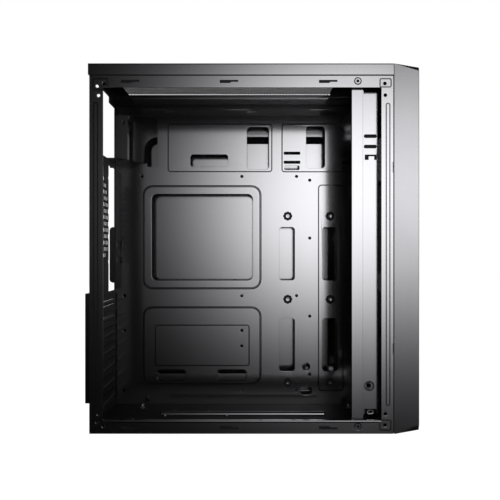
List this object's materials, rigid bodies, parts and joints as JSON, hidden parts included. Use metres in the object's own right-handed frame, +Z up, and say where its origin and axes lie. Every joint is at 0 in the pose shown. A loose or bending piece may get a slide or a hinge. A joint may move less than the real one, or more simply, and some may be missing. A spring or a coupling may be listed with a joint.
{
  "type": "desktop computer tower",
  "caption": "Empty black steel tower chassis with one side open, board tray with cable openings, card slots and a tapered plastic front.",
  "frame": {"origin": "on the floor, at the bottom centre of the whole object's box", "axes": "+X towards the front bezel, -Y out of the open left side, +Z up"},
  "size_m": [0.3812, 0.191, 0.4181],
  "materials": {
    "black_steel": "satin black powder coat on 0.7 to 1 mm steel sheet",
    "black_plastic": "satin moulded ABS",
    "rubber": "matt moulded rubber",
    "zinc": "bright zinc plate",
    "circuit": "green solder mask",
    "light_lens": "clear moulded light pipe"
  },
  "bodies": {
    "chassis": {"bottom_panel": "black_steel", "top_frame": "black_steel", "top_cover": "black_steel", "rear_panel": "black_steel", "slot_cover_1": "black_steel", "slot_cover_2": "black_steel", "slot_cover_3": "black_steel", "slot_cover_4": "black_steel", "slot_cover_5": "black_steel", "slot_cover_6": "black_steel", "slot_cover_7": "black_steel", "slot_screw_1": "zinc", "slot_screw_2": "zinc", "slot_screw_3": "zinc", "slot_screw_4": "zinc", "slot_screw_5": "zinc", "slot_screw_6": "zinc", "front_panel": "black_steel", "tray_low_1": "black_steel", "tray_low_2": "black_steel", "tray_low_3": "black_steel", "tray_low_4": "black_steel", "tray_mid_1": "black_steel", "tray_mid_2": "black_steel", "tray_mid_3": "black_steel", "tray_top_1": "black_steel", "tray_top_2": "black_steel", "tray_top_3": "black_steel", "tray_top_4": "black_steel", "psu_shelf": "black_steel", "front_column": "black_steel", "column_screw_1": "black_steel", "column_screw_2": "black_steel", "foot_1": "rubber", "foot_2": "rubber", "foot_3": "rubber", "foot_4": "rubber"},
    "side_panel": {"right_side_panel": "black_steel"},
    "side_thumbscrew_low": {"thumbscrew_1": "black_steel"},
    "side_thumbscrew_high": {"thumbscrew_2": "black_steel"},
    "screw_cover": {"slot_screw_cover": "black_steel"},
    "bezel": {"front_bezel": "black_plastic", "front_mesh": "black_steel", "front_io_board": "circuit", "power_switch": "black_plastic", "reset_switch": "black_plastic", "usb_port_1": "zinc", "usb_port_2": "zinc", "audio_jack_1": "black_plastic", "audio_jack_2": "black_plastic", "power_light": "light_lens"},
    "power_button": {"power_button": "black_plastic"},
    "reset_button": {"reset_button": "black_plastic"}
  },
  "joints": [
    {"name": "side_panel_slide", "type": "slide", "parent": "chassis", "child": "side_panel", "axis": [-1, 0, 0], "range_m": [0, 0.014]},
    {"name": "thumbscrew_low_turn", "type": "hinge", "parent": "side_panel", "child": "side_thumbscrew_low", "pos_m": [-0.1818, 0.082, 0.067], "axis": [1, 0, 0], "continuous": true},
    {"name": "thumbscrew_high_turn", "type": "hinge", "parent": "side_panel", "child": "side_thumbscrew_high", "pos_m": [-0.1818, 0.082, 0.325], "axis": [1, 0, 0], "continuous": true},
    {"name": "screw_cover_pull", "type": "slide", "parent": "chassis", "child": "screw_cover", "axis": [-1, 0, 0], "range_m": [0, 0.02]},
    {"name": "bezel_pull", "type": "slide", "parent": "chassis", "child": "bezel", "axis": [1, 0, 0], "range_m": [0, 0.03]},
    {"name": "power_button_press", "type": "slide", "parent": "bezel", "child": "power_button", "axis": [-1, 0, 0], "range_m": [0, 0.0025], "stiffness_N_per_m": 600, "springref_m": -0.001},
    {"name": "reset_button_press", "type": "slide", "parent": "bezel", "child": "reset_button", "axis": [-1, 0, 0], "range_m": [0, 0.0015], "stiffness_N_per_m": 600, "springref_m": -0.001}
  ]
}
